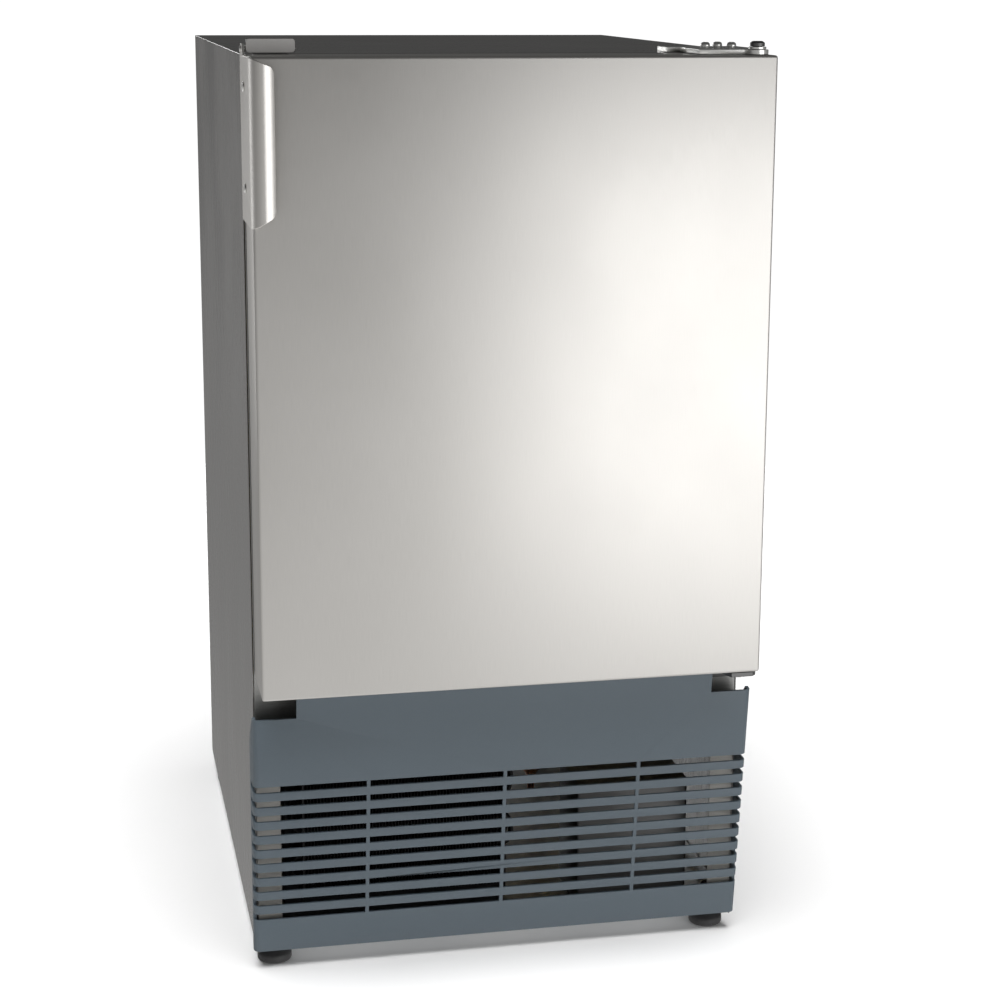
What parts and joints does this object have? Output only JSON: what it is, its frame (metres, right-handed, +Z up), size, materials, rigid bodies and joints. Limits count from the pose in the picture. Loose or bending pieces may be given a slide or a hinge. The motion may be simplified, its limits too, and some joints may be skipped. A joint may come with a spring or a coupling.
{
  "type": "ice maker",
  "caption": "Built-in ice maker: stainless cabinet with a hinged insulated door, curled side handle, slotted lower grille, levelling feet and ice making parts inside.",
  "frame": {"origin": "on the floor, under the middle of the object's box", "axes": "+Z up, +X to the right seen from the front, +Y to the back; the door faces -Y"},
  "size_m": [0.3606, 0.5004, 0.6622],
  "materials": {
    "stainless": "brushed",
    "case_steel": "matt galvanised sheet",
    "bright_steel": "polished",
    "dark_steel": "satin",
    "grille_plastic": "fine moulded texture",
    "black_plastic": "fine moulded texture",
    "white_plastic": "vacuum formed",
    "bin_plastic": "satin moulded",
    "foam": "rigid foam",
    "rubber": "matt",
    "aluminium": "die cast",
    "copper": "drawn copper",
    "brass": "turned",
    "black_painted_steel": "gloss paint",
    "valve_plastic": "moulded"
  },
  "bodies": {
    "cabinet": {"cabinet_wrap": "case_steel", "back_panel": "case_steel", "base_pan": "case_steel", "front_frame": "case_steel", "bay_flange_left": "bright_steel", "bay_flange_right": "bright_steel", "foam_insulation": "foam", "inner_liner": "white_plastic", "ice_mould": "aluminium", "ice_maker_housing": "white_plastic", "fill_cup": "white_plastic", "fill_tube": "white_plastic", "condenser": "dark_steel", "fan_shroud": "black_plastic", "fan_motor": "dark_steel", "compressor_plate": "black_painted_steel", "compressor": "black_painted_steel", "grommet_front_left": "rubber", "grommet_front_right": "rubber", "grommet_rear_left": "rubber", "grommet_rear_right": "rubber", "filter_drier": "copper", "discharge_line": "copper", "control_box": "dark_steel", "water_valve": "valve_plastic", "drain_stub": "brass", "power_inlet": "black_plastic", "front_grille": "grille_plastic", "top_hinge_plate": "bright_steel", "top_hinge_screw_1": "bright_steel", "top_hinge_screw_2": "bright_steel", "top_hinge_screw_3": "bright_steel", "top_hinge_washer": "bright_steel", "top_hinge_pin": "dark_steel", "bottom_hinge_bracket": "dark_steel", "bottom_hinge_pin": "bright_steel", "bottom_hinge_screw_left": "bright_steel", "bottom_hinge_screw_right": "bright_steel"},
    "door": {"door_skin": "stainless", "door_foam": "foam", "door_liner": "white_plastic", "door_gasket": "rubber", "hinge_bush_lower": "white_plastic", "hinge_bush_upper": "white_plastic", "door_handle": "stainless", "handle_screw_upper": "bright_steel", "handle_screw_lower": "bright_steel", "latch_pin": "bright_steel", "latch_spring": "bright_steel"},
    "latch": {"latch_lever": "stainless"},
    "ejector": {"ejector": "black_plastic"},
    "shut_off_arm": {"shut_off_arm": "bright_steel"},
    "fan": {"fan": "black_plastic"},
    "rocker": {"power_rocker": "black_plastic"},
    "bin": {"ice_bin": "bin_plastic"},
    "foot_front_left": {"foot_front_left": "black_plastic"},
    "foot_front_right": {"foot_front_right": "black_plastic"},
    "foot_rear_left": {"foot_rear_left": "black_plastic"},
    "foot_rear_right": {"foot_rear_right": "black_plastic"}
  },
  "joints": [
    {"name": "door_hinge", "type": "hinge", "parent": "cabinet", "child": "door", "pos_m": [0.165, -0.2217, 0.4367], "axis": [0, 0, 1], "range_deg": [0, 110]},
    {"name": "latch_pivot", "type": "hinge", "parent": "door", "child": "latch", "pos_m": [-0.157, -0.1882, 0.6556], "axis": [1, 0, 0], "range_deg": [0, 25], "stiffness_Nm_per_rad": 0.02, "springref_deg": -17.19},
    {"name": "ejector_spin", "type": "hinge", "parent": "cabinet", "child": "ejector", "pos_m": [-0.09, -0.0601, 0.5865], "axis": [0, 1, 0], "continuous": true},
    {"name": "shut_off_swing", "type": "hinge", "parent": "cabinet", "child": "shut_off_arm", "pos_m": [-0.04, -0.0601, 0.552], "axis": [0, -1, 0], "range_deg": [0, 40]},
    {"name": "fan_spin", "type": "hinge", "parent": "cabinet", "child": "fan", "pos_m": [-0.065, -0.1018, 0.10795], "axis": [0, 1, 0], "continuous": true},
    {"name": "rocker_tilt", "type": "hinge", "parent": "cabinet", "child": "rocker", "pos_m": [-0.09, -0.1116, 0.565], "axis": [1, 0, 0], "range_deg": [-8, 8]},
    {"name": "bin_slide", "type": "slide", "parent": "cabinet", "child": "bin", "axis": [0, -1, 0], "range_m": [0, 0.016]},
    {"name": "foot_front_left_screw", "type": "slide", "parent": "cabinet", "child": "foot_front_left", "axis": [0, 0, -1], "range_m": [0, 0.01]},
    {"name": "foot_front_right_screw", "type": "slide", "parent": "cabinet", "child": "foot_front_right", "axis": [0, 0, -1], "range_m": [0, 0.01]},
    {"name": "foot_rear_left_screw", "type": "slide", "parent": "cabinet", "child": "foot_rear_left", "axis": [0, 0, -1], "range_m": [0, 0.01]},
    {"name": "foot_rear_right_screw", "type": "slide", "parent": "cabinet", "child": "foot_rear_right", "axis": [0, 0, -1], "range_m": [0, 0.01]}
  ]
}
